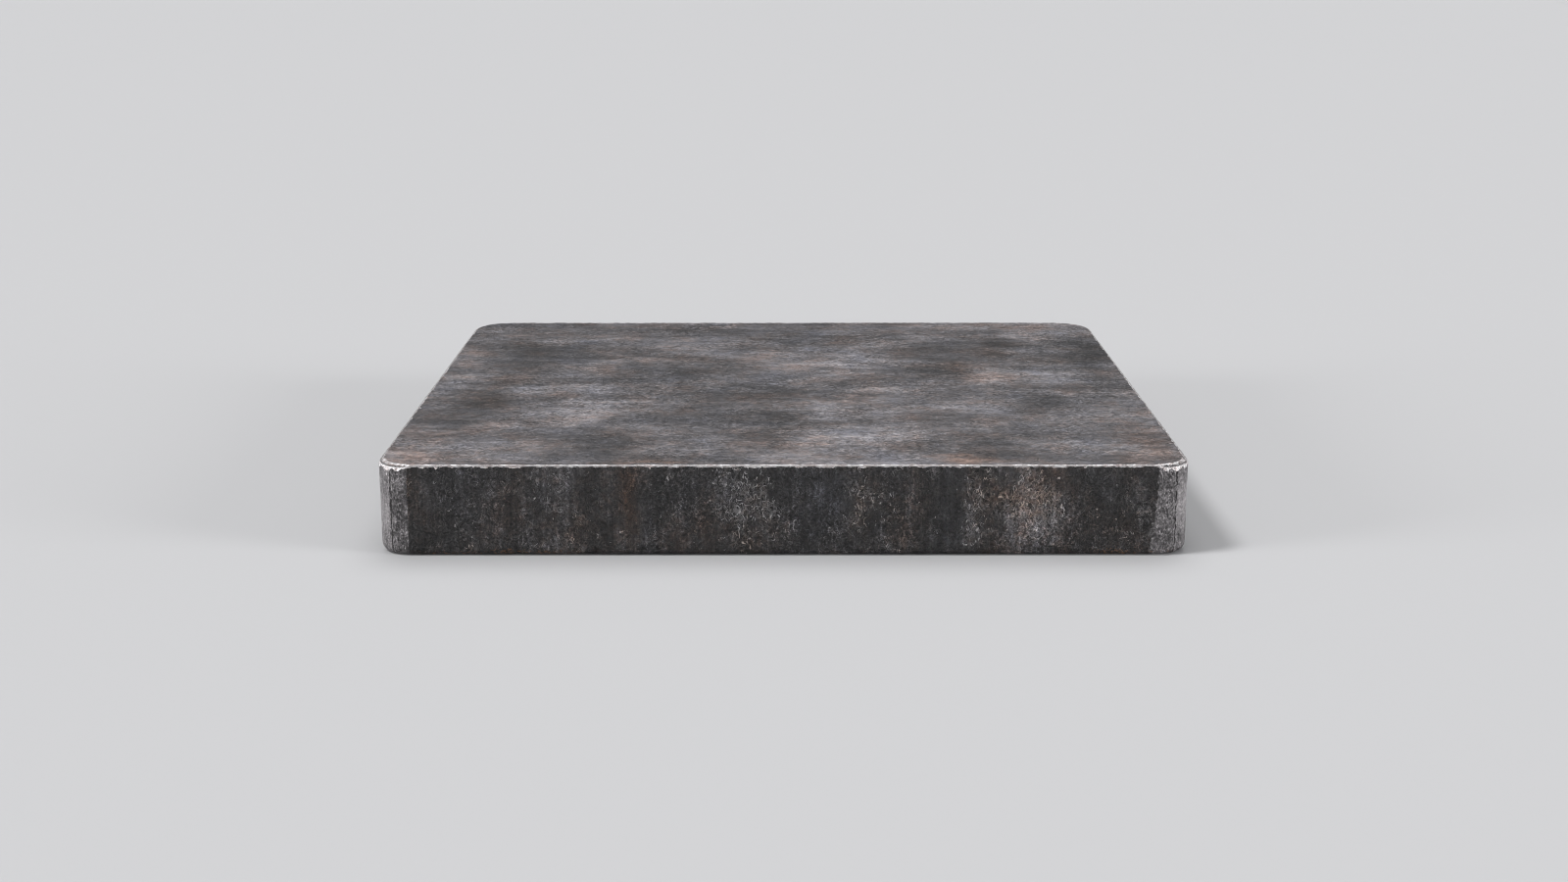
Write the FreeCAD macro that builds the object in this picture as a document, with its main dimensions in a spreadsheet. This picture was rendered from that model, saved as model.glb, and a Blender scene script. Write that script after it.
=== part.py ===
"""Steel slab: one solid piece of semi-finished flat steel, as it lies on a level floor.

Frame: millimetres, +Z up. The origin is the centre of the underside, the front face looks along -Y,
and +X is to the right when the front face is seen from in front.

The slab is square in plan. Its four upright corners are rounded in plan, the front pair more tightly
than the back pair. The arris all round the top face is worn to a small radius, and the one round the
underside to a larger one. The scale, pits, chips and rust are surface relief and aren't in this source.
"""

import os

import FreeCAD, Part  # FreeCAD has to be imported before Part
import Sketcher

V = FreeCAD.Vector

doc = FreeCAD.newDocument("SteelSlab")

# ---------------------------------------------------------------------------
# Driving dimensions, in millimetres
# ---------------------------------------------------------------------------
sheet = doc.addObject("Spreadsheet::Sheet", "Dimensions")
rows = [
    ("slab_width", "2000", "overall size along X"),
    ("slab_depth", "2000", "overall size along Y"),
    ("slab_thickness", "230", "overall size along Z"),
    ("front_corner_radius", "81", "plan radius of the two front upright corners"),
    ("back_corner_radius", "114", "plan radius of the two back upright corners"),
    ("top_arris_radius", "8", "worn arris round the top face"),
    ("bottom_arris_radius", "20", "rounded arris round the underside"),
]
for i, (alias, value, note) in enumerate(rows, start=1):
    sheet.set("A%d" % i, alias)
    sheet.set("B%d" % i, value)
    sheet.set("C%d" % i, note)
    sheet.setAlias("B%d" % i, alias)
doc.recompute()

W = float(sheet.slab_width)
D = float(sheet.slab_depth)
T = float(sheet.slab_thickness)
RF = float(sheet.front_corner_radius)
RB = float(sheet.back_corner_radius)

# ---------------------------------------------------------------------------
# Plan outline: a rectangle with tangent corner arcs, padded to the thickness
# ---------------------------------------------------------------------------
body = doc.addObject("PartDesign::Body", "SteelSlab")
body.Label = "steel_slab"


def origin_plane(b, role):
    return next(f for f in b.Origin.OriginFeatures if f.Role == role)


sketch = body.newObject("Sketcher::SketchObject", "PlanOutline")
sketch.AttachmentSupport = (origin_plane(body, "XY_Plane"), [""])
sketch.MapMode = "FlatFace"

x0, x1, y0, y1 = -W / 2, W / 2, -D / 2, D / 2
PI = 3.141592653589793


def line(ax, ay, bx, by):
    return sketch.addGeometry(Part.LineSegment(V(ax, ay, 0), V(bx, by, 0)), False)


def corner(cx, cy, r, a0, a1):
    circle = Part.Circle(V(cx, cy, 0), V(0, 0, 1), r)
    return sketch.addGeometry(Part.ArcOfCircle(circle, a0, a1), False)


front = line(x0 + RF, y0, x1 - RF, y0)
front_right = corner(x1 - RF, y0 + RF, RF, 1.5 * PI, 2.0 * PI)
right = line(x1, y0 + RF, x1, y1 - RB)
back_right = corner(x1 - RB, y1 - RB, RB, 0.0, 0.5 * PI)
back = line(x1 - RB, y1, x0 + RB, y1)
back_left = corner(x0 + RB, y1 - RB, RB, 0.5 * PI, PI)
left = line(x0, y1 - RB, x0, y0 + RF)
front_left = corner(x0 + RF, y0 + RF, RF, PI, 1.5 * PI)

C = Sketcher.Constraint
for a, b in (
    (front, front_right),
    (front_right, right),
    (right, back_right),
    (back_right, back),
    (back, back_left),
    (back_left, left),
    (left, front_left),
    (front_left, front),
):
    sketch.addConstraint(C("Tangent", a, 2, b, 1))
sketch.addConstraint(C("Horizontal", front))
sketch.addConstraint(C("Horizontal", back))
sketch.addConstraint(C("Vertical", right))
sketch.addConstraint(C("Vertical", left))
sketch.addConstraint(C("Equal", front_left, front_right))
sketch.addConstraint(C("Equal", back_left, back_right))


def named(kind, name, cell, *args):
    index = sketch.addConstraint(C(kind, *args))
    sketch.renameConstraint(index, name)
    sketch.setExpression("Constraints." + name, cell)


# Distances from the sketch's own axes keep the outline centred on the origin.
named("DistanceX", "half_width_right", "Dimensions.slab_width / 2", -1, 1, right, 1, W / 2)
named("DistanceX", "half_width_left", "Dimensions.slab_width / 2", left, 1, -1, 1, W / 2)
named("DistanceY", "half_depth_back", "Dimensions.slab_depth / 2", -1, 1, back, 1, D / 2)
named("DistanceY", "half_depth_front", "Dimensions.slab_depth / 2", front, 1, -1, 1, D / 2)
named("Radius", "front_radius", "Dimensions.front_corner_radius", front_left, RF)
named("Radius", "back_radius", "Dimensions.back_corner_radius", back_left, RB)
doc.recompute()

pad = body.newObject("PartDesign::Pad", "Thickness")
pad.Profile = sketch
pad.setExpression("Length", "Dimensions.slab_thickness")
doc.recompute()
if abs(pad.Shape.BoundBox.ZMin) > 1e-6:
    raise RuntimeError("the slab has to stand on z = 0")


# ---------------------------------------------------------------------------
# Arrises: the edges of the top face, then those of the underside
# ---------------------------------------------------------------------------
def edges_at(feature, z):
    names = []
    for n, e in enumerate(feature.Shape.Edges, start=1):
        box = e.BoundBox
        if abs(box.ZMin - z) < 1e-6 and abs(box.ZMax - z) < 1e-6:
            names.append("Edge%d" % n)
    return names


top_names = edges_at(pad, T)
if len(top_names) != 8:
    raise RuntimeError("the top face has %d edges, not 8" % len(top_names))
top_arris = body.newObject("PartDesign::Fillet", "TopArris")
top_arris.Base = (pad, top_names)
top_arris.setExpression("Radius", "Dimensions.top_arris_radius")
doc.recompute()

bottom_names = edges_at(top_arris, 0.0)
if len(bottom_names) != 8:
    raise RuntimeError("the underside has %d edges, not 8" % len(bottom_names))
bottom_arris = body.newObject("PartDesign::Fillet", "BottomArris")
bottom_arris.Base = (top_arris, bottom_names)
bottom_arris.setExpression("Radius", "Dimensions.bottom_arris_radius")
body.Tip = bottom_arris
doc.recompute()

# ---------------------------------------------------------------------------
# Checks, then one STEP file for each sub-part
# ---------------------------------------------------------------------------
for obj in doc.Objects:
    if "Invalid" in obj.State or "Error" in obj.State:
        raise RuntimeError("%s failed: %s" % (obj.Label, obj.State))
if sketch.FullyConstrained is False:
    raise RuntimeError("the plan outline isn't fully constrained")

# The padded outline's volume, and what the two arrises take off it, from the plan's own area and perimeter.
plan_area = W * D - (4 - PI) / 2 * (RF**2 + RB**2)
if abs(pad.Shape.Volume / (plan_area * T) - 1) > 1e-6:
    raise RuntimeError("the pad's volume isn't its plan area times the thickness")
if not 0.995 < body.Shape.Volume / pad.Shape.Volume < 1:
    raise RuntimeError("the arrises take off too much or nothing")

os.makedirs("parts", exist_ok=True)
for sub_part in (body,):
    shape = sub_part.Shape
    if shape.isNull() or not shape.isValid() or len(shape.Solids) != 1:
        raise RuntimeError("%s isn't one valid solid" % sub_part.Label)
    box = shape.optimalBoundingBox()
    print(
        "%s: %.1f x %.1f x %.1f mm, %.4f m3, z from %.2f"
        % (sub_part.Label, box.XLength, box.YLength, box.ZLength, shape.Volume / 1e9, box.ZMin)
    )
    shape.exportStep(os.path.join("parts", sub_part.Label + ".step"))
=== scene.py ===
import math

import bpy
import numpy as np
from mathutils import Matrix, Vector
from mathutils.geometry import delaunay_2d_cdt


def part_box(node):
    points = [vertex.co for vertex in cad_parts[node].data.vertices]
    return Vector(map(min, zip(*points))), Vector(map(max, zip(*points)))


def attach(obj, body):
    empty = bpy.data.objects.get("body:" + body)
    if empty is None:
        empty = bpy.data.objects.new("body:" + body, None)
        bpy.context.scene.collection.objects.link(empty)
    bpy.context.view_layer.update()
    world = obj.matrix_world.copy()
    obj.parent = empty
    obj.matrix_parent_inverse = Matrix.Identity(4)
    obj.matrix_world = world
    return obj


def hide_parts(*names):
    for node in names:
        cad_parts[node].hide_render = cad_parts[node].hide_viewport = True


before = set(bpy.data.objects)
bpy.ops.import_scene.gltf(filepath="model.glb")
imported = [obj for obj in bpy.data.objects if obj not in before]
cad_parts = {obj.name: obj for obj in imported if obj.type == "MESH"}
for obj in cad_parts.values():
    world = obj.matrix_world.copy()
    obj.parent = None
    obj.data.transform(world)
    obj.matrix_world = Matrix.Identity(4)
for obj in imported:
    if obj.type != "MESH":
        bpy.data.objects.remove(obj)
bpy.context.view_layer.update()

NODE = "steel_slab"
_lo, _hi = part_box(NODE)
X0, Y0, Z0 = _lo
X1, Y1, Z1 = _hi

# Plan radii of the front and back upright corners, radii of the top and bottom arris.
RF, RB, RT, RU = 0.081, 0.114, 0.008, 0.020


# ------------------------------------------------------------------ seeded noise
def _hash(ix, iy, iz, seed):
    h = (ix.astype(np.int64) * 73856093) ^ (iy.astype(np.int64) * 19349663)
    h ^= (iz.astype(np.int64) * 83492791) ^ (seed * 2654435761)
    h &= 0xFFFFFFFF
    h = ((h ^ (h >> 16)) * 0x45D9F3B) & 0xFFFFFFFF
    h = ((h ^ (h >> 16)) * 0x45D9F3B) & 0xFFFFFFFF
    return h ^ (h >> 16)


_GRAD = np.array([(1, 1, 0), (-1, 1, 0), (1, -1, 0), (-1, -1, 0), (1, 0, 1), (-1, 0, 1), (1, 0, -1), (-1, 0, -1),
                  (0, 1, 1), (0, -1, 1), (0, 1, -1), (0, -1, -1), (1, 1, 0), (-1, 1, 0), (0, -1, 1), (0, -1, -1)], float)


def perlin(p, seed=0):
    """Gradient noise, about -1 to 1, at the rows of p."""
    p = np.asarray(p, float)
    i = np.floor(p).astype(np.int64)
    f = p - i
    w = f * f * f * (f * (f * 6 - 15) + 10)
    out = np.zeros(len(p))
    for dx in (0, 1):
        wx = w[:, 0] if dx else 1 - w[:, 0]
        for dy in (0, 1):
            wy = w[:, 1] if dy else 1 - w[:, 1]
            for dz in (0, 1):
                wz = w[:, 2] if dz else 1 - w[:, 2]
                g = _GRAD[_hash(i[:, 0] + dx, i[:, 1] + dy, i[:, 2] + dz, seed) & 15]
                d = g[:, 0] * (f[:, 0] - dx) + g[:, 1] * (f[:, 1] - dy) + g[:, 2] * (f[:, 2] - dz)
                out += wx * wy * wz * d
    return out


def fbm(p, seed=0, octaves=4, gain=0.5):
    out, amp, total = np.zeros(len(p)), 1.0, 0.0
    q = np.asarray(p, float)
    for k in range(octaves):
        out += amp * perlin(q, seed + 17 * k)
        total += amp
        amp *= gain
        q = q * 2.03 + 11.7
    return out / total


def smooth(a, b, x):
    t = np.clip((x - a) / (b - a), 0, 1)
    return t * t * (3 - 2 * t)


# ------------------------------------------------------------------ the outline, as a curve of its own length
def arc(cx, cy, r, a0):
    return ("arc", r * math.pi / 2, cx, cy, r, a0)


def line(x0, y0, x1, y1):
    return ("line", math.hypot(x1 - x0, y1 - y0), x0, y0, x1, y1)


SEGMENTS = [
    line(X0 + RF, Y0, X1 - RF, Y0),
    arc(X1 - RF, Y0 + RF, RF, -math.pi / 2),
    line(X1, Y0 + RF, X1, Y1 - RB),
    arc(X1 - RB, Y1 - RB, RB, 0.0),
    line(X1 - RB, Y1, X0 + RB, Y1),
    arc(X0 + RB, Y1 - RB, RB, math.pi / 2),
    line(X0, Y1 - RB, X0, Y0 + RF),
    arc(X0 + RF, Y0 + RF, RF, math.pi),
]
STARTS = np.concatenate([[0.0], np.cumsum([s[1] for s in SEGMENTS])])
LENGTH = STARTS[-1]


def outline(s):
    """Point, outward normal and segment number at each length s along the outline, anticlockwise from the front left."""
    s = np.mod(s, LENGTH)
    k = np.clip(np.searchsorted(STARTS, s, side="right") - 1, 0, 7)
    P, N = np.zeros((len(s), 2)), np.zeros((len(s), 2))
    for j, seg in enumerate(SEGMENTS):
        m = k == j
        t = s[m] - STARTS[j]
        if seg[0] == "line":
            _, ln, x0, y0, x1, y1 = seg
            d = np.array([(x1 - x0) / ln, (y1 - y0) / ln])
            P[m] = np.array([x0, y0]) + t[:, None] * d
            N[m] = (d[1], -d[0])
        else:
            _, ln, cx, cy, r, a0 = seg
            a = a0 + t / r
            N[m] = np.stack([np.cos(a), np.sin(a)], 1)
            P[m] = np.array([cx, cy]) + r * N[m]
    return P, N, k


def columns(n):
    """n places along the outline, closer together on the front and its two corners."""
    s = np.linspace(0, LENGTH, 20001)
    front = 1 - smooth(STARTS[2] - 0.01, STARTS[2] + 0.10, s) + smooth(STARTS[7] - 0.10, STARTS[7] + 0.01, s)
    density = 1 + 0.85 * front
    c = np.concatenate([[0], np.cumsum((density[1:] + density[:-1]) / 2)])
    return np.interp(np.arange(n) / n, c / c[-1], s)


N0 = 2040
S = columns(N0)

verts, normals, arc_at, faces = [], [], [], []


def ring(s, inset, z, up):
    """One ring of vertices round the slab, inset from the outline, with the profile normal turned up by that angle."""
    P, N, _ = outline(s)
    first = len(verts)
    for (px, py), (nx, ny), ss in zip(P, N, s):
        verts.append((px - nx * inset, py - ny * inset, z))
        normals.append((nx * math.cos(up), ny * math.cos(up), math.sin(up)))
        arc_at.append(ss)
    return list(range(first, first + len(s)))


def strip(a, b):
    n = len(a)
    for i in range(n):
        j = (i + 1) % n
        faces.append((a[i], b[i], b[j], a[j]))


def halve(a, b, flip=False):
    """Joins ring a to ring b, which has every second of a's columns."""
    n = len(b)
    for i in range(n):
        a0, a1, a2 = a[2 * i], a[2 * i + 1], a[(2 * i + 2) % len(a)]
        b0, b1 = b[i], b[(i + 1) % n]
        for f in ((a0, b0, a1), (a1, b0, b1), (a1, b1, a2)):
            faces.append(f[::-1] if flip else f)


HALF = math.pi / 2
S2, S4 = S[::2], S[::4]

# The worn top arris, in close rings from the top face round to the wall.
upper = []
for inset in (0.0240, 0.0190, 0.0148, 0.0112):
    upper.append(ring(S, inset, Z1, HALF))
for k in range(6):
    a = HALF * (1 - k / 5)
    upper.append(ring(S, RT - RT * math.cos(a), Z1 - RT + RT * math.sin(a), a))
for drop in (0.0106, 0.0136, 0.0172):
    upper.append(ring(S, 0.0, Z1 - drop, 0.0))
for a, b in zip(upper, upper[1:]):
    strip(a, b)

# The wall, down to the bottom arris.
wall_top = Z1 - 0.0225
rows = 27
wall = [ring(S2, 0.0, wall_top + (Z0 + RU - wall_top) * k / rows, 0.0) for k in range(rows + 1)]
halve(upper[-1], wall[0])
for a, b in zip(wall, wall[1:]):
    strip(a, b)
lower = [wall[-1]]
for k in range(1, 6):
    a = -HALF * k / 5
    lower.append(ring(S2, RU - RU * math.cos(a), Z0 + RU + RU * math.sin(a), a))
for a, b in zip(lower, lower[1:]):
    strip(a, b)

# The top face inside the arris: two thinning rings, then an even field of triangles.
mid = ring(S2, 0.0310, Z1, HALF)
halve(upper[0], mid, flip=True)
inner = ring(S4, 0.0410, Z1, HALF)
halve(mid, inner, flip=True)


def field(edge, z, up, step, down=False):
    """Fills a ring of vertices with an even, staggered field of triangles."""
    xy = [Vector(verts[i][:2]) for i in edge]
    ex = np.array([v[:] for v in xy])
    x0, y0 = ex.min(0)
    x1, y1 = ex.max(0)
    dy = step * math.sqrt(3) / 2
    pts = []
    for r, y in enumerate(np.arange(y0 + dy / 2, y1, dy)):
        for x in np.arange(x0 + step * (0.25 + 0.5 * (r % 2)), x1, step):
            pts.append((x, y))
    pts = np.array(pts)
    # keep the points that are well inside the rounded outline
    gx0, gx1, gy0, gy1 = x0, x1, y0, y1
    rf = RF - (X1 - x1)
    rb = RB - (X1 - x1)
    inside = np.full(len(pts), np.inf)
    inside = np.minimum(inside, np.minimum.reduce([pts[:, 0] - gx0, gx1 - pts[:, 0], pts[:, 1] - gy0, gy1 - pts[:, 1]]))
    for cx, cy, r, sx, sy in ((gx0 + rf, gy0 + rf, rf, -1, -1), (gx1 - rf, gy0 + rf, rf, 1, -1),
                              (gx0 + rb, gy1 - rb, rb, -1, 1), (gx1 - rb, gy1 - rb, rb, 1, 1)):
        u, v = (pts[:, 0] - cx) * sx, (pts[:, 1] - cy) * sy
        corner = (u > 0) & (v > 0)
        inside = np.where(corner, np.minimum(inside, r - np.hypot(u, v)), inside)
    pts = pts[inside > step * 0.55]
    first = len(verts)
    for x, y in pts:
        verts.append((x, y, z))
        normals.append((0.0, 0.0, math.sin(up)))
        arc_at.append(-1.0)
    coords = xy + [Vector(p) for p in pts]
    ids = list(edge) + list(range(first, first + len(pts)))
    co, _, tris, orig, _, _ = delaunay_2d_cdt(coords, [], [list(range(len(edge)))], 1, 1e-7, True)
    back = [ids[o[0]] for o in orig]
    for t in tris:
        f = [back[i] for i in t]
        a, b, c = (verts[i] for i in f)
        if ((b[0] - a[0]) * (c[1] - a[1]) - (b[1] - a[1]) * (c[0] - a[0]) < 0) != down:
            f.reverse()
        faces.append(tuple(f))


field(inner, Z1, HALF, 0.0118)
field(lower[-1], Z0, -HALF, 0.055, down=True)

V = np.array(verts)
NRM = np.array(normals)
ARC = np.array(arc_at)
NV = len(V)

# ------------------------------------------------------------------ where each vertex lies
up = NRM[:, 2]
on_top = smooth(0.55, 0.95, up)
on_side = 1 - smooth(0.05, 0.7, np.abs(up))
below = up < -0.02
drop = Z1 - V[:, 2]

# distance in from the outline, for the top face
def inset_of(x, y):
    d = np.minimum.reduce([x - X0, X1 - x, y - Y0, Y1 - y])
    for cx, cy, r, sx, sy in ((X0 + RF, Y0 + RF, RF, -1, -1), (X1 - RF, Y0 + RF, RF, 1, -1),
                              (X0 + RB, Y1 - RB, RB, -1, 1), (X1 - RB, Y1 - RB, RB, 1, 1)):
        u, v = (x - cx) * sx, (y - cy) * sy
        c = (u > 0) & (v > 0)
        d = np.where(c, np.minimum(d, r - np.hypot(u, v)), d)
    return d


INSET = np.maximum(inset_of(V[:, 0], V[:, 1]), 0)
near_arris = np.exp(-((np.minimum(INSET, 1) + np.maximum(drop, 0)) / 0.020) ** 2) * (up > -0.02)

_, _, SEG0 = outline(np.where(ARC >= 0, ARC, 0))

# ------------------------------------------------------------------ relief, always inward from the CAD surface
# Slow waves of the rolled faces and the plates of scale lying on them.
plates = fbm(V * (24, 24, 24) + 3.1, 5, 3)
plates2 = fbm(V * (52, 52, 40) + 9.7, 23, 2)
slow = fbm(V * (3.2, 3.2, 3.2), 41, 2)
lumps = fbm(V * (9.0, 9.0, 7.0), 77, 2)
relief_top = 0.0011 * (0.5 - slow) + 0.0006 * (0.5 - lumps) + 0.0008 * smooth(0.0, 0.16, plates) + 0.0004 * smooth(0.02, 0.2, plates2)
relief_side = 0.0010 * (0.5 - slow) + 0.0006 * (0.5 - lumps) + 0.0009 * smooth(0.0, 0.16, plates) + 0.0008 * smooth(0.02, 0.2, plates2)
relief = relief_top * on_top + relief_side * (1 - on_top)
relief = np.clip(relief, 0, None)
relief = relief * (1 - 0.7 * near_arris)
in_corner = (ARC >= 0) & ((SEG0 % 2) == 1)
relief = np.where(in_corner, relief * 0.55, relief)
relief = np.where(below & (up < -0.6), relief * 0.4, relief)
D = -NRM * relief[:, None]

# The upright corners: a lighter lip of scale, with a painted sheen at mid height, and a long crease down it on each
# front corner.
corner = np.zeros(NV)
crease = np.zeros(NV)
cline = np.full(NV, 1.0)
lip_and_sheen = np.zeros(NV)
for j, r in ((7, RF), (1, RF), (3, RB), (5, RB)):
    a, b = STARTS[j], STARTS[j + 1]
    lean = 0.020 * smooth(0.17, 0.03, V[:, 2]) if j == 1 else (0.006 * smooth(0.15, 0.03, V[:, 2]) if j == 7 else 0.0)
    w = 0.0085 * fbm(V * (30, 30, 18) + j, 60 + j, 3)
    soft = 0.009 if j == 1 else 0.003
    m = (smooth(a - soft, a + soft, ARC + w + (lean if j == 1 else 0.0)) * (1 - smooth(b - 0.003, b + 0.003, ARC + w))) * (ARC >= 0)
    corner = np.maximum(corner, m)
    at = {7: a + 0.62 * (b - a), 1: a + 0.37 * (b - a), 3: a + 0.5 * (b - a), 5: a + 0.45 * (b - a)}[j]
    wander = at + 0.0045 * fbm(V * (0, 0, 9) + 5 * j, 90 + j, 3) + 0.0030 * fbm(V * (0, 0, 60) + 5 * j, 190 + j, 2)
    from_line = np.mod(ARC - at + LENGTH / 2, LENGTH) - LENGTH / 2
    cline = np.where((ARC >= 0) & (np.abs(from_line) < np.abs(cline)), from_line, cline)
    g = np.exp(-((ARC - wander) / 0.0055) ** 2) * (ARC >= 0)
    beyond = smooth(0.001, 0.006, (wander - ARC) if j in (7, 3) else (ARC - wander))
    # Painted sheen: the lip is painted lighter at mid height.
    painted_sheen = 0.35 + 0.65 * np.exp(-((V[:, 2] - (0.105 if j != 1 else 0.12)) / 0.060) ** 2)
    lip_and_sheen = np.maximum(lip_and_sheen, m * beyond * painted_sheen)
    gap = smooth(-0.10, 0.22, fbm(V * (0, 0, 46) + 7 * j, 130 + j, 2))
    crease = np.maximum(crease, g * (0.30 + 0.70 * gap))
on_wall = (ARC >= 0) & (drop > 0.010)
crease = crease * on_wall * (V[:, 2] > 0.018)
D += -NRM * (crease * 0.0016)[:, None]

# The worn top arris. In the vertical plane at each column, u runs outward and v up, both from the sharp corner.
band = (ARC >= 0) & (drop < 0.030) & (INSET < 0.030)
ub, vb = -INSET.copy(), -drop.copy()
P2, N2, SEG = outline(np.where(ARC >= 0, ARC, 0))
ub = np.where(ARC >= 0, -((P2[:, 0] - V[:, 0]) * N2[:, 0] + (P2[:, 1] - V[:, 1]) * N2[:, 1]), ub)
ring_xyz = np.column_stack([P2, np.zeros(NV)])


def along(scale, seed, octaves=3):
    """Noise that varies along the arris only."""
    return fbm(ring_xyz * scale + 2.3, seed, octaves)


rng = np.random.default_rng(2407)
cut = np.zeros(NV)
move = np.zeros((NV, 2))


def plane_cut(phi, c, rough):
    """Takes off what stands beyond a plane at angle phi, a distance c in from the sharp corner."""
    global cut
    n = np.array([math.cos(phi), math.sin(phi)])
    out = (ub + move[:, 0]) * n[0] + (vb + move[:, 1]) * n[1] + c
    out = np.where(band, np.maximum(out + rough * (out > 0), 0), 0)
    move[:, 0] -= out * n[0]
    move[:, 1] -= out * n[1]
    cut = cut + out


fine_rough = 0.0007 * fbm(V * 190, 301, 2)
rim = np.zeros(NV)
for j, k in ((7, 1.0), (1, 1.0), (3, 0.45), (5, 0.45)):
    rim = np.maximum(rim, k * smooth(STARTS[j] - 0.02, STARTS[j] + 0.02, ARC) * (1 - smooth(STARTS[j + 1] - 0.02, STARTS[j + 1] + 0.02, ARC)))
rim = np.maximum(rim, 0.5 * (1 - smooth(0.0, 0.02, ARC)) * (ARC >= 0))
wear_c = 0.0043 + 0.0034 * rim + 0.0022 * along(14, 311) + 0.0019 * along(55, 317, 2) + 0.0014 * along(150, 319, 2)
plane_cut(math.radians(60), np.maximum(wear_c, 0.0032), fine_rough)
plane_cut(math.radians(36), np.maximum(0.0034 + 0.0028 * rim + 0.0026 * along(21, 331) + 0.0016 * along(70, 337, 2) + 0.0018 * along(160, 341, 2), 0.0026), fine_rough)

# Larger chips: some run down the wall, some back over the top.
chips = []
at = 0.0
while at < LENGTH:
    at += 0.008 + rng.exponential(0.017)
    chips.append((at, rng.uniform(0.0024, 0.0092), rng.uniform(0.15, 1.0) ** 1.6, rng.choice([0, 0, 1]), rng.uniform(-1, 1)))
for c, width, depth in ((STARTS[7] + 0.028, 0.013, 1.25), (STARTS[7] + 0.068, 0.020, 1.5), (STARTS[7] + 0.100, 0.014, 1.3),
                        (0.035, 0.016, 1.1), (0.115, 0.02, 0.8), (STARTS[1] + 0.016, 0.012, 1.3),
                        (STARTS[1] + 0.047, 0.020, 1.6), (STARTS[1] + 0.082, 0.016, 1.3), (STARTS[1] - 0.05, 0.018, 0.9)):
    chips.append((c, width, depth, 0, 0.2))
for c, width, depth, kind, lean in chips:
    c = c % LENGTH
    t = (ARC - c + LENGTH / 2) % LENGTH - LENGTH / 2
    m = np.abs(t) < width * 1.3
    shape = np.clip(1 - np.abs(t[m] / width + 0.25 * lean * (t[m] / width) ** 2) ** 2.2, -0.6, 1)
    if kind == 0:
        down_c = 0.0006 + 0.0034 * depth * shape
        extra = np.zeros(NV)
        extra[m] = down_c + 0.0030 * rim[m]
        sel = m & band
        phi = math.radians(26 + 12 * lean)
        n = np.array([math.cos(phi), math.sin(phi)])
        out = (ub + move[:, 0]) * n[0] + (vb + move[:, 1]) * n[1] + extra * 1.0
        out = np.where(sel & (extra > 0), np.clip(out + fine_rough * (out > 0), 0, 0.006), 0)
    else:
        extra = np.zeros(NV)
        extra[m] = 0.0008 + 0.0036 * depth * shape
        sel = m & band
        phi = math.radians(64 + 10 * lean)
        n = np.array([math.cos(phi), math.sin(phi)])
        out = (ub + move[:, 0]) * n[0] + (vb + move[:, 1]) * n[1] + extra * 1.0
        out = np.where(sel & (extra > 0), np.clip(out + fine_rough * (out > 0), 0, 0.006), 0)
    move[:, 0] -= out * n[0]
    move[:, 1] -= out * n[1]
    cut += out

D[:, 0] += move[:, 0] * N2[:, 0] * band
D[:, 1] += move[:, 0] * N2[:, 1] * band
D[:, 2] += move[:, 1] * band

# Small nicks along the bottom arris.
nick = smooth(0.18, 0.42, fbm(ring_xyz * 22 + 4, 401, 3)) * smooth(0.030, 0.012, V[:, 2]) * (ARC >= 0)
D += -NRM * (nick * 0.0022)[:, None]
dent = np.exp(-((V[:, 0] + 0.463) / 0.006) ** 2 - ((V[:, 2] - 0.012) / 0.014) ** 2) * (V[:, 1] < Y0 + 0.05)
D += -NRM * (dent * 0.004)[:, None]

CO = V + D
# keep every vertex inside the CAD box
CO[:, 0] = np.clip(CO[:, 0], X0, X1)
CO[:, 1] = np.clip(CO[:, 1], Y0, Y1)
CO[:, 2] = np.clip(CO[:, 2], Z0, Z1)

mesh = bpy.data.meshes.new("steel_slab_skin")
mesh.from_pydata([tuple(c) for c in CO], [], faces)
mesh.validate(verbose=False)
mesh.update()
mesh.shade_smooth()
slab = bpy.data.objects.new("steel_slab_skin", mesh)
bpy.context.scene.collection.objects.link(slab)

# ------------------------------------------------------------------ masks, stains and painted light kept on the vertices
# Worn arris: bare metal where the arris is cut back, and along the whole rounded arris; partly a painted highlight.
wear_and_highlight = np.clip(cut / 0.0012, 0, 1) * band
wear_and_highlight = np.maximum(wear_and_highlight, smooth(0.35, 0.75, up) * (up < 0.995) * (up > 0.2) * 0.85 * (ARC >= 0))

# Painted highlight: a thin bright line on the top just inside the arris, strongest at the corners.
inner_highlight_line = np.exp(-((INSET - 0.0148) / 0.0022) ** 2) * (up > 0.99) * (ARC >= 0) * rim
bevel = rim * smooth(0.0130, 0.0105, INSET) * smooth(0.25, 0.60, up)
wear_and_highlight = np.maximum(wear_and_highlight * (1 - 0.60 * bevel), 0.85 * inner_highlight_line)
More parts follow.
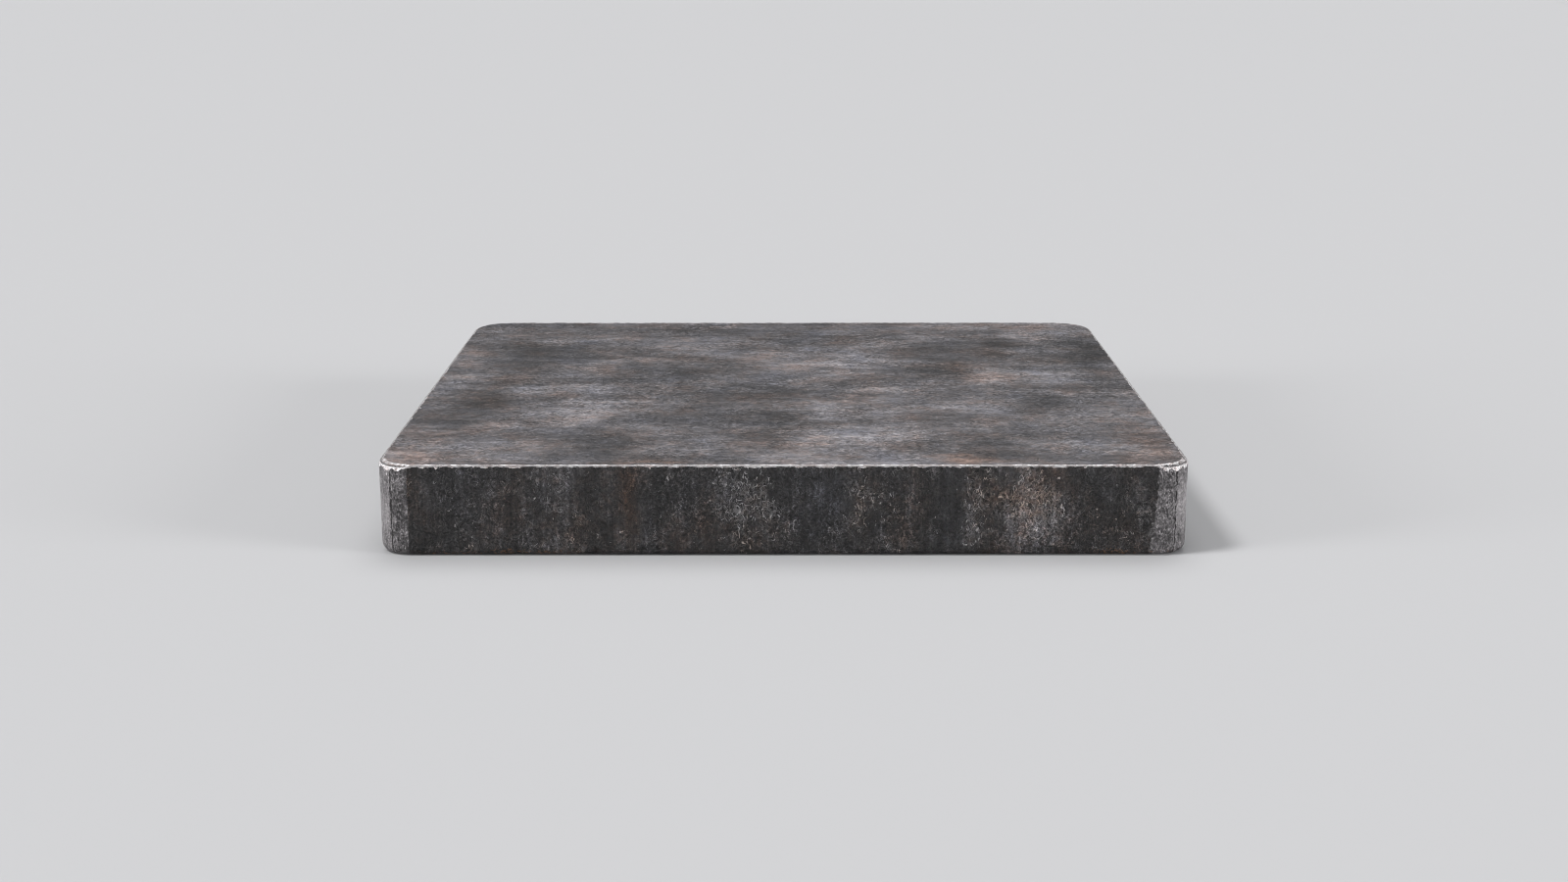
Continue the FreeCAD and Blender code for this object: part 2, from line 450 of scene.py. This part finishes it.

# Stains: (x, y, half width, half depth, log brightness, warmth), laid on the top face.
TOP_STAINS = [
    (-0.79, 0.50, 0.08, 0.26, -0.38, 0.1), (-0.82, -0.22, 0.07, 0.15, -0.45, 0.9), (-0.80, -0.02, 0.05, 0.08, -0.15, 1.0),
    (0.00, -0.18, 0.10, 0.10, -0.28, 0.7), (-0.02, -0.76, 0.06, 0.16, -0.40, 0.5), (0.02, -0.45, 0.07, 0.10, -0.28, 0.3),
    (0.70, 0.63, 0.06, 0.07, -0.50, 0.3), (0.68, 0.45, 0.08, 0.05, -0.38, 0.7), (0.93, 0.56, 0.06, 0.13, -0.45, 0.0),
    (0.92, 0.25, 0.05, 0.15, -0.25, 0.1), (0.68, -0.25, 0.07, 0.10, -0.28, -0.3), (0.20, -0.92, 0.10, 0.06, -0.22, 0.0),
    (0.53, 0.22, 0.07, 0.17, 0.04, 1.6), (-0.13, 0.48, 0.08, 0.05, -0.38, -0.2), (-0.30, 0.41, 0.07, 0.05, -0.30, 0.3),
    (-0.44, 0.28, 0.06, 0.12, -0.22, 0.0), (-0.35, 0.57, 0.07, 0.05, 0.26, 0.1), (-0.45, -0.03, 0.13, 0.07, 0.28, 0.3),
    (0.40, -0.04, 0.18, 0.05, 0.30, 0.3), (0.17, 0.18, 0.12, 0.09, 0.26, 0.1), (-0.05, 0.80, 0.16, 0.07, 0.12, -0.8),
    (-0.06, -0.50, 0.06, 0.08, 0.16, -1.0), (-0.04, 0.08, 0.10, 0.10, 0.08, -0.8), (-0.32, -0.95, 0.12, 0.02, 0.12, 2.4),
    (0.46, -0.95, 0.10, 0.03, 0.14, 2.8), (-0.91, -0.84, 0.10, 0.14, 0.14, 0.8), (0.90, -0.80, 0.10, 0.16, 0.14, 1.0),
    (-0.76, 0.90, 0.12, 0.06, 0.22, 0.3), (0.70, 0.88, 0.16, 0.06, 0.10, 0.3), (-0.25, -0.36, 0.10, 0.08, -0.18, 0.4),
]
# The same on the front wall: (x, z, half width, half height, log brightness, warmth).
FRONT_STAINS = [
    (-0.88, 0.12, 0.030, 0.20, -0.16, 0.1), (-0.79, 0.14, 0.080, 0.10, 0.06, -1.6), (-0.68, 0.10, 0.070, 0.18, -0.02, 0.4),
    (-0.555, 0.11, 0.050, 0.30, 0.62, -0.2), (-0.86, 0.11, 0.10, 0.40, -0.24, 0.0), (-0.50, 0.13, 0.020, 0.09, -0.04, 0.9), (-0.435, 0.15, 0.028, 0.12, -0.24, 0.1),
    (-0.38, 0.11, 0.022, 0.11, 0.10, 3.0), (-0.31, 0.12, 0.045, 0.12, -0.16, 0.2), (-0.20, 0.09, 0.035, 0.05, 0.20, 0.7),
    (-0.12, 0.15, 0.060, 0.07, 0.02, -0.3), (-0.055, 0.15, 0.016, 0.05, 0.35, 0.0), (0.07, 0.14, 0.090, 0.10, -0.20, -1.2),
    (0.19, 0.13, 0.030, 0.20, 0.04, 1.1), (0.27, 0.15, 0.032, 0.10, -0.22, 0.1), (0.335, 0.12, 0.028, 0.10, 0.02, 1.0),
    (0.405, 0.10, 0.040, 0.25, -0.14, -0.7), (0.455, 0.08, 0.020, 0.05, 0.26, 0.2), (0.53, 0.155, 0.032, 0.035, 0.30, 2.2),
    (0.585, 0.10, 0.045, 0.25, 0.98, 0.6), (0.65, 0.13, 0.040, 0.05, 0.28, 0.2), (0.73, 0.165, 0.060, 0.045, -0.42, 0.1),
    (0.80, 0.09, 0.035, 0.03, -0.20, 0.4), (0.86, 0.12, 0.040, 0.15, -0.10, 0.2),
]
# Painted light: the top starts darker towards the back and lighter towards the front; the stains below add to it.
LUM_STAINS_AND_LIGHT, WARM = -0.17 * V[:, 1] * on_top, np.zeros(NV)
warp = np.column_stack([fbm(V * 5, 501, 3), fbm(V * 5 + 31, 509, 3), fbm(V * 7 + 77, 521, 3)])


def stain(u, v, cu, cv, ru, rv, lum, warm, mask):
    g = np.exp(-(((u - cu) / ru) ** 2 + ((v - cv) / rv) ** 2) * 0.9) * mask
    LUM_STAINS_AND_LIGHT[:] += 1.3 * lum * g
    WARM[:] += warm * g


for x, y, rx, ry, lum, warm in TOP_STAINS:
    lum *= 1.9 if lum < 0 else 0.85
    stain(V[:, 0] + 0.13 * warp[:, 0], V[:, 1] + 0.13 * warp[:, 1], x, y, rx, ry, lum, warm, on_top)
front = (V[:, 1] < Y0 + RF) * (1 - on_top)
for x, z, rx, rz, lum, warm in FRONT_STAINS:
    stain(V[:, 0] + 0.045 * warp[:, 0], V[:, 2] + 0.03 * warp[:, 2], x, z, rx, rz, lum, warm, front)
LUM_STAINS_AND_LIGHT -= 0.30 * front * smooth(-0.039, -0.031, V[:, 0] + 0.004 * warp[:, 2]) * np.exp(-np.maximum(V[:, 0] + 0.035, 0) / 0.07)
# The other walls carry stains of the same kind, at places of their own.
away = (1 - on_top) * (1 - front)
at = STARTS[2] + 0.02
while at < STARTS[7] - 0.02:
    w = rng.uniform(0.018, 0.07)
    lum = rng.normal(0.02, 0.24)
    warm = rng.normal(0.25, 0.8)
    z = rng.uniform(0.05, 0.18)
    rz = rng.choice([0.05, 0.10, 0.25])
    stain(np.where(ARC >= 0, ARC, -9) + 0.045 * warp[:, 0], V[:, 2] + 0.03 * warp[:, 2], at, z, w, rz, lum, warm, away)
    at += w * rng.uniform(1.1, 1.8)

# How thickly the light flecks lie: paler broken scale, partly painted highlights on the ridges.
fleck = 0.20 + 0.60 * fbm(V * (6, 6, 5) + 40, 601, 3)
for x, z, rx, rz, k in ((-0.13, 0.12, 0.09, 0.09, 0.35), (-0.05, 0.14, 0.015, 0.06, 0.3), (0.46, 0.09, 0.02, 0.06, 0.4),
                        (0.65, 0.13, 0.05, 0.06, 0.5), (0.55, 0.14, 0.08, 0.08, 0.35), (0.20, 0.13, 0.04, 0.08, 0.25),
                        (-0.79, 0.13, 0.06, 0.07, 0.15), (0.83, 0.15, 0.05, 0.05, 0.2), (0.07, 0.15, 0.07, 0.10, -0.5),
                        (0.72, 0.165, 0.05, 0.04, -0.5), (0.41, 0.09, 0.03, 0.2, -0.35), (-0.43, 0.15, 0.03, 0.08, -0.3)):
    fleck += k * np.exp(-(((V[:, 0] - x) / rx) ** 2 + ((V[:, 2] - z) / rz) ** 2)) * front
fleck = np.clip(fleck, 0, 1)

# Rust: specks along the bottom of the front left and right, and a few blooms elsewhere.
rust = smooth(0.045, 0.004, V[:, 2]) * (1 - on_top) * (0.30 + 0.6 * smooth(-0.1, 0.3, fbm(ring_xyz * 3.5, 701, 2)))
rust += 0.8 * smooth(0.022, 0.004, V[:, 2]) * np.exp(-((V[:, 0] + 0.80) / 0.16) ** 2) * front
rust += 0.5 * smooth(0.030, 0.004, V[:, 2]) * np.exp(-((V[:, 0] - 0.80) / 0.06) ** 2) * front
rust += 0.35 * np.exp(-(((V[:, 0] + 0.385) / 0.022) ** 2 + ((V[:, 2] - 0.115) / 0.035) ** 2)) * front
rust = np.clip(rust, 0, 1)


def put(name, values):
    a = mesh.attributes.new(name, "FLOAT", "POINT")
    a.data.foreach_set("value", np.asarray(values, np.float32))


put("wear_and_highlight", wear_and_highlight)
put("side", 1 - on_top)
put("corner", corner * (1 - on_top))
put("lip_and_sheen", lip_and_sheen)
put("cline", cline)
put("lum", LUM_STAINS_AND_LIGHT)
put("warm", WARM)
put("fleck", fleck)
put("rust", rust)

# ------------------------------------------------------------------ material
mat = bpy.data.materials.new("scaled_steel")
mat.use_nodes = True
nt = mat.node_tree
nt.nodes.clear()


def node(kind, **props):
    n = nt.nodes.new(kind)
    for k, v in props.items():
        setattr(n, k, v)
    return n


def wire(value, socket):
    if isinstance(value, bpy.types.NodeSocket):
        nt.links.new(value, socket)
    else:
        socket.default_value = value


def math_(op, a, b=None, c=None, clamp=False):
    n = node("ShaderNodeMath", operation=op, use_clamp=clamp)
    wire(a, n.inputs[0])
    if b is not None:
        wire(b, n.inputs[1])
    if c is not None:
        wire(c, n.inputs[2])
    return n.outputs[0]


def add(a, b): return math_("ADD", a, b)
def sub(a, b): return math_("SUBTRACT", a, b)
def mul(a, b): return math_("MULTIPLY", a, b)
def madd(a, b, c): return math_("MULTIPLY_ADD", a, b, c)


def step(v, a, b, lo=0.0, hi=1.0, kind="SMOOTHSTEP"):
    n = node("ShaderNodeMapRange", interpolation_type=kind)
    wire(v, n.inputs["Value"])
    n.inputs["From Min"].default_value = a
    n.inputs["From Max"].default_value = b
    n.inputs["To Min"].default_value = lo
    n.inputs["To Max"].default_value = hi
    return n.outputs["Result"]


def scaled(vec, x, y, z, offset=(0, 0, 0)):
    n = node("ShaderNodeMapping", vector_type="POINT")
    wire(vec, n.inputs["Vector"])
    n.inputs["Scale"].default_value = (x, y, z)
    n.inputs["Location"].default_value = offset
    return n.outputs["Vector"]


def noise(vec, scale, detail=2.0, rough=0.5, distort=0.0, lac=2.0):
    n = node("ShaderNodeTexNoise", noise_dimensions="3D", noise_type="FBM", normalize=True)
    wire(vec, n.inputs["Vector"])
    n.inputs["Scale"].default_value = scale
    n.inputs["Detail"].default_value = detail
    n.inputs["Roughness"].default_value = rough
    n.inputs["Distortion"].default_value = distort
    n.inputs["Lacunarity"].default_value = lac
    return n.outputs["Fac"]


def cells(vec, scale, feature="DISTANCE_TO_EDGE", rand=1.0):
    n = node("ShaderNodeTexVoronoi", voronoi_dimensions="3D", feature=feature)
    wire(vec, n.inputs["Vector"])
    n.inputs["Scale"].default_value = scale
    n.inputs["Randomness"].default_value = rand
    return n.outputs["Distance"]


def shift(vec, scale, amount, seed=(0, 0, 0)):
    """The coordinates pushed about by noise."""
    n = node("ShaderNodeTexNoise", noise_dimensions="3D")
    wire(scaled(vec, 1, 1, 1, seed), n.inputs["Vector"])
    n.inputs["Scale"].default_value = scale
    n.inputs["Detail"].default_value = 2
    s = node("ShaderNodeVectorMath", operation="SUBTRACT")
    wire(n.outputs["Color"], s.inputs[0])
    s.inputs[1].default_value = (0.5, 0.5, 0.5)
    m = node("ShaderNodeVectorMath", operation="MULTIPLY_ADD")
    wire(s.outputs[0], m.inputs[0])
    m.inputs[1].default_value = (amount, amount, amount)
    wire(vec, m.inputs[2])
    return m.outputs[0]


def mix(fac, a, b, blend="MIX", clamp=True):
    n = node("ShaderNodeMix", data_type="RGBA", blend_type=blend, clamp_factor=clamp)
    wire(fac, n.inputs[0])
    wire(a, n.inputs[6])
    wire(b, n.inputs[7])
    return n.outputs[2]


def mixf(fac, a, b):
    n = node("ShaderNodeMix", data_type="FLOAT", clamp_factor=True)
    wire(fac, n.inputs[0])
    wire(a, n.inputs[2])
    wire(b, n.inputs[3])
    return n.outputs[0]


def attr(name):
    return node("ShaderNodeAttribute", attribute_type="GEOMETRY", attribute_name=name).outputs["Fac"]


def rgb(r, g, b):
    return (r, g, b, 1.0)


P = node("ShaderNodeTexCoord").outputs["Object"]
a_side, a_wear_and_highlight, a_corner = attr("side"), attr("wear_and_highlight"), attr("corner")
a_lum_stains_and_light, a_warm, a_fleck, a_rust = attr("lum"), attr("warm"), attr("fleck"), attr("rust")

# Crinkled scale: thin worm-like ridges at two sizes, cracked plates between them.
fine = node("ShaderNodeVectorMath", operation="SCALE")
wire(P, fine.inputs[0])
wire(mixf(a_side, 0.55, 1.0), fine.inputs["Scale"])
PF = fine.outputs[0]
Pw = shift(PF, 26, 0.020)
Pz = scaled(Pw, 1.0, 1.0, 0.62)
n_a = noise(Pz, 70, 3, 0.55, 0.6)
ridge_a = step(math_("ABSOLUTE", sub(n_a, 0.5)), 0.0, 0.048, 1.0, 0.0)
n_b = noise(scaled(Pw, 1, 1, 1, (4, 2, 9)), 135, 2, 0.5, 0.5)
ridge_b = step(math_("ABSOLUTE", sub(n_b, 0.5)), 0.0, 0.055, 1.0, 0.0)
grain = noise(PF, 300, 2, 0.6)
n_c = noise(scaled(Pw, 1, 1, 0.55, (1, 9, 4)), 62, 1.5, 0.5, 0.8)
dash = noise(scaled(PF, 1, 1, 1, (5, 1, 8)), 58, 2, 0.6)
bright_line = step(math_("ABSOLUTE", sub(n_c, 0.5)), 0.005, 0.021, 1.0, 0.0)
dark_line = step(math_("ABSOLUTE", sub(n_c, 0.548)), 0.006, 0.030, 1.0, 0.0)
mid = noise(scaled(P, 0.75, 1.0, 1.0), 34, 4, 0.6, 0.4)
edge = cells(Pw, 46)
crack = step(edge, 0.0, 0.10, 1.0, 0.0)
broken = noise(scaled(PF, 1, 1, 1, (8, 1, 3)), 21, 3, 0.6)

# Soft cloudy staining, drawn out along X on the top and up and down on the walls.
cloud_top = noise(scaled(P, 0.75, 1.0, 1.0), 3.8, 4, 0.55, 0.5)
bands_top = noise(scaled(P, 0.16, 1.0, 1.0, (3, 3, 3)), 13, 4, 0.6, 0.2)
streak = noise(scaled(P, 1.0, 1.0, 0.10), 34, 4, 0.6, 0.15)
streak_fine = noise(scaled(P, 1.0, 1.0, 0.07, (1, 5, 2)), 120, 3, 0.6)
cloud_side = noise(scaled(P, 1.0, 1.0, 0.7, (5, 5, 5)), 13, 4, 0.6, 0.3)

streak_top = noise(scaled(P, 0.20, 1.0, 1.0, (7, 2, 5)), 38, 3, 0.6, 0.15)
cloud = mixf(a_side, add(add(mul(sub(cloud_top, 0.5), 4.9), mul(sub(bands_top, 0.5), 1.6)), mul(sub(streak_top, 0.5), 0.9)),
             add(mul(sub(cloud_side, 0.5), 3.4), mul(sub(streak, 0.5), 3.3)))
lum = add(cloud, a_lum_stains_and_light)
fine_amp = step(noise(scaled(P, 1, 1, 1, (6, 6, 1)), 4.5, 3, 0.6), 0.36, 0.64, 0.6, 1.3)
lum = add(lum, mul(sub(mid, 0.5), mixf(a_side, 1.9, 2.6)))
lum = add(lum, mul(mul(sub(grain, 0.5), mixf(a_side, 1.9, 3.6)), fine_amp))
lum = add(lum, mul(mul(sub(n_b, 0.5), mixf(a_side, 2.8, 4.4)), fine_amp))
# Painted highlight and shade: the ridges are lighter and the ground between them darker.
lum = add(lum, mul(sub(add(ridge_a, mul(ridge_b, 0.6)), 0.45), mul(mul(mixf(a_side, 0.62, 1.15), step(broken, 0.34, 0.60, 0.22, 1.1)), fine_amp)))
lum = add(lum, mul(mul(sub(streak_fine, 0.5), 1.9), a_side))
# Painted shade in the cracks between the plates.
painted_crack_shade = mul(crack, step(broken, 0.42, 0.62))
lum = sub(lum, mul(painted_crack_shade, mixf(a_side, 0.35, 0.9)))
gain = math_("EXPONENT", lum)
gain = mixf(a_side, math_("DIVIDE", mul(gain, 1.16), madd(gain, 0.16, 1.0)), gain)

# Painted shade: the walls take a base colour far darker than the top's, standing in for the walls getting less light.
base_top_and_shaded_wall = mix(a_side, rgb(0.1445, 0.1350, 0.1402), rgb(0.0300, 0.0276, 0.0283))
scale_col = node("ShaderNodeVectorMath", operation="SCALE")
wire(base_top_and_shaded_wall, scale_col.inputs[0])
wire(gain, scale_col.inputs["Scale"])
scale_col = scale_col.outputs[0]

# Warm and cool drift of the oxide.
hue = add(madd(a_warm, 1.0, mul(a_side, 0.12)), mul(sub(noise(scaled(P, 1, 1, 0.6, (9, 4, 1)), 7.0, 4, 0.6), 0.5), mixf(a_side, 7.4, 9.0)))
hue = add(hue, mul(sub(noise(scaled(P, 1, 1, 1, (2, 8, 8)), 60, 3, 0.6), 0.5), mixf(a_side, 3.6, 4.6)))
warm_t = mix(step(hue, 0.0, 3.0, kind="LINEAR"), rgb(1, 1, 1), mix(a_side, rgb(1.32, 0.98, 0.79), rgb(1.50, 0.97, 0.69)))
cool_t = mix(step(hue, 0.0, -2.0, kind="LINEAR"), rgb(1, 1, 1), rgb(0.93, 1.0, 1.12))
col = mix(1.0, scale_col, warm_t, "MULTIPLY")
col = mix(1.0, col, cool_t, "MULTIPLY")

# Light flecks on the ridges: paler grey where the scale has broken, partly a painted highlight on the ridge tops.
fleck_on = step(add(a_fleck, mul(sub(broken, 0.5), 1.8)), 0.24, 0.70)
fleck_and_ridge_highlight = mul(math_("MAXIMUM", ridge_a, mul(ridge_b, 0.8)), fleck_on)
fleck_and_ridge_highlight = mul(fleck_and_ridge_highlight, mixf(a_side, 0.12, 0.42))
col = mix(fleck_and_ridge_highlight, col, mix(step(hue, -0.5, 2.2), rgb(0.33, 0.315, 0.32), rgb(0.36, 0.29, 0.25)))

# Short curled painted glints, each with a painted shadow on one side.
painted_glint_on = step(add(add(dash, mul(sub(a_fleck, 0.4), mixf(a_side, 0.25, 0.50))), mul(sub(broken, 0.5), 0.35)), 0.49, 0.59)
painted_glint = mul(bright_line, painted_glint_on)
shade = mul(dark_line, painted_glint_on)
col = mix(mul(shade, mixf(a_side, 0.45, 0.65)), col, rgb(0.016, 0.015, 0.015))
col = mix(mul(painted_glint, mixf(a_side, 0.32, 0.95)), col, mix(step(hue, -0.5, 2.2), rgb(0.46, 0.44, 0.45), rgb(0.50, 0.38, 0.31)))

# The upright corners, rubbed to a lighter grey with an upright grain; the lighter grey is partly painted light from the
# sides, and the lip adds its painted sheen.
a_lip_and_sheen = attr("lip_and_sheen")
grain_up = noise(scaled(P, 1.0, 1.0, 0.22), 130, 3, 0.65, 0.2)
grain_c = noise(scaled(Pw, 1.0, 1.0, 0.80, (3, 3, 8)), 185, 3, 0.6, 0.2)
pits = step(noise(scaled(Pw, 1, 1, 1, (2, 7, 1)), 120, 3, 0.65, 0.5), 0.41, 0.34)
corner_m = step(add(a_corner, mul(sub(noise(P, 60, 4, 0.65), 0.5), 1.7)), 0.38, 0.60)
rough_part = mixf(a_lip_and_sheen, 1.0, 0.35)
corner_rubbed_and_lit_gain = math_("EXPONENT", add(add(mul(sub(grain_up, 0.5), 1.8), mul(add(mul(sub(grain_c, 0.5), 6.0), mul(sub(mid, 0.5), 3.4)), rough_part)),
                                 add(mul(a_lum_stains_and_light, 0.3), mul(sub(a_lip_and_sheen, 0.15), 0.90))))
corner_rubbed_and_lit_col = node("ShaderNodeVectorMath", operation="SCALE")
corner_rubbed_and_lit_col.inputs[0].default_value = (0.142, 0.1335, 0.137)
wire(corner_rubbed_and_lit_gain, corner_rubbed_and_lit_col.inputs["Scale"])
col = mix(corner_m, col, corner_rubbed_and_lit_col.outputs[0])
# The crease down each corner: a broken chain of painted shade along it, with a painted highlight beside it.
along_z = scaled(P, 0.7, 0.7, 1.0, (4, 4, 4))
line_at = add(attr("cline"), madd(sub(noise(along_z, 14, 3, 0.6), 0.5), 0.014, mul(sub(noise(along_z, 95, 2, 0.6), 0.5), 0.010)))
open_ = step(noise(scaled(along_z, 1, 1, 1, (1, 2, 3)), 62, 2, 0.6), 0.36, 0.50)
on_corner = mul(mul(step(a_corner, 0.6, 0.9), a_side), step(a_wear_and_highlight, 0.35, 0.15))
width = math_("ABSOLUTE", line_at)
painted_crease_shade = mul(mul(step(width, 0.0011, 0.0030, 1.0, 0.0), open_), on_corner)
painted_crease_highlight = mul(mul(step(math_("ABSOLUTE", sub(width, 0.0042)), 0.0006, 0.0020, 1.0, 0.0), step(n_a, 0.42, 0.56)), on_corner)
col = mix(mul(painted_crease_highlight, 0.55), col, rgb(0.34, 0.325, 0.33))
# Dark pits, and the painted shade along the crease.
pits_and_crease_shade = math_("MAXIMUM", mul(pits, mul(mul(corner_m, rough_part), 0.7)), mul(painted_crease_shade, 0.92))
col = mix(pits_and_crease_shade, col, rgb(0.022, 0.020, 0.020))

# Rust specks.
rust_m = step(add(mul(a_rust, 0.27), mul(noise(Pw, 150, 3, 0.7), 1.0)), 0.78, 0.88)
col = mix(mul(rust_m, 0.65), col, mix(noise(P, 210, 2), rgb(0.13, 0.055, 0.032), rgb(0.40, 0.235, 0.135)))

# Bright metal on the worn arris, with a ragged lower border; the near-white colour is partly a painted highlight.
wear_n = add(a_wear_and_highlight, mul(sub(noise(Pw, 130, 3, 0.65), 0.5), 0.95))
wear_and_highlight_m = step(wear_n, 0.36, 0.54)
metal_and_highlight_col = mix(step(add(mul(noise(P, 60, 3, 0.6), 0.5), mul(noise(Pw, 190, 3, 0.65), 0.5)), 0.40, 0.56), rgb(0.58, 0.50, 0.49), rgb(0.99, 0.97, 0.98))
col = mix(wear_and_highlight_m, col, metal_and_highlight_col)

rough_v = add(0.50, mul(sub(mid, 0.5), 0.35))
rough_v = add(rough_v, mul(sub(grain, 0.5), 0.25))
rough_v = sub(rough_v, mul(fleck_and_ridge_highlight, 0.12))
rough_v = mixf(corner_m, rough_v, 0.42)
rough_v = mixf(rust_m, rough_v, 0.85)
rough_v = mixf(wear_and_highlight_m, rough_v, 0.24)
metal_v = mixf(wear_and_highlight_m, mixf(corner_m, 0.20, 0.35), 0.30)
metal_v = mul(metal_v, sub(1.0, rust_m))

# Relief too fine for the mesh.
height = mul(ridge_a, 0.9)
height = add(height, mul(ridge_b, 0.40))
height = add(height, mul(mid, 1.3))
height = add(height, mul(n_a, 1.2))
height = sub(height, mul(painted_crack_shade, mixf(a_side, 0.5, 0.8)))
height = add(height, mul(grain, 0.22))
height = add(height, mul(painted_glint, 0.7))
height = sub(height, mul(shade, 0.5))
height = mul(height, mixf(a_side, 0.55, 1.0))
height = mixf(corner_m, height, add(mul(grain_up, 1.6), mul(mid, 0.6)))
height = sub(height, mul(pits_and_crease_shade, 1.0))
bump = node("ShaderNodeBump")
bump.inputs["Strength"].default_value = 1.0
bump.inputs["Distance"].default_value = 0.0036
wire(height, bump.inputs["Height"])

bsdf = node("ShaderNodeBsdfPrincipled")
wire(col, bsdf.inputs["Base Color"])
wire(rough_v, bsdf.inputs["Roughness"])
wire(metal_v, bsdf.inputs["Metallic"])
wire(bump.outputs["Normal"], bsdf.inputs["Normal"])
bsdf.inputs["Specular IOR Level"].default_value = 0.45
out = node("ShaderNodeOutputMaterial")
nt.links.new(bsdf.outputs["BSDF"], out.inputs["Surface"])

mesh.materials.append(mat)
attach(slab, "root")
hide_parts(NODE)

# ------------------------------------------------------------------ floor, light, camera
fm = bpy.data.meshes.new("floor")
R = 90.0
fm.from_pydata([(-R, -R, 0), (R, -R, 0), (R, R, 0), (-R, R, 0)], [], [(0, 1, 2, 3)])
floor = bpy.data.objects.new("floor", fm)
bpy.context.scene.collection.objects.link(floor)
floor.location.z = Z0 - 0.0005
fmat = bpy.data.materials.new("pale_floor")
fmat.use_nodes = True
fb = fmat.node_tree.nodes["Principled BSDF"]
fb.inputs["Base Color"].default_value = (0.60, 0.60, 0.61, 1)
fb.inputs["Roughness"].default_value = 0.9
fb.inputs["Specular IOR Level"].default_value = 0.15
fm.materials.append(fmat)


def distant(name, source, strength, angle):
    light = bpy.data.lights.new(name, "SUN")
    light.energy = strength
    light.angle = math.radians(angle)
    o = bpy.data.objects.new(name, light)
    o.rotation_euler = (-Vector(source)).to_track_quat("-Z", "Y").to_euler()
    bpy.context.scene.collection.objects.link(o)


distant("key", (-0.52, -0.13, 0.84), 1.45, 14)
distant("soft", (0.05, 0.42, 0.91), 1.0, 40)
distant("rim_left", (-0.93, -0.30, 0.20), 1.5, 22)
distant("rim_right", (0.93, -0.30, 0.20), 1.75, 22)

world = bpy.data.worlds.new("studio")
bpy.context.scene.world = world
world.use_nodes = True
bg = world.node_tree.nodes["Background"]
bg.inputs["Color"].default_value = (0.80, 0.81, 0.83, 1)
bg.inputs["Strength"].default_value = 0.26

cam_data = bpy.data.cameras.new("camera")
cam_data.sensor_width = 36.0
cam_data.lens = 2300 / 1600 * 36.0
cam_data.clip_end = 300
cam = bpy.data.objects.new("camera", cam_data)
cam.location = (-0.009, -6.3402, 1.526)
cam.rotation_euler = (math.pi / 2 - 0.2274, 0.0, -0.0018)
bpy.context.scene.collection.objects.link(cam)
bpy.context.scene.camera = cam

bpy.context.scene.cycles.filter_width = 1.0
bpy.context.scene.view_settings.view_transform = "Standard"
bpy.context.scene.view_settings.look = "None"
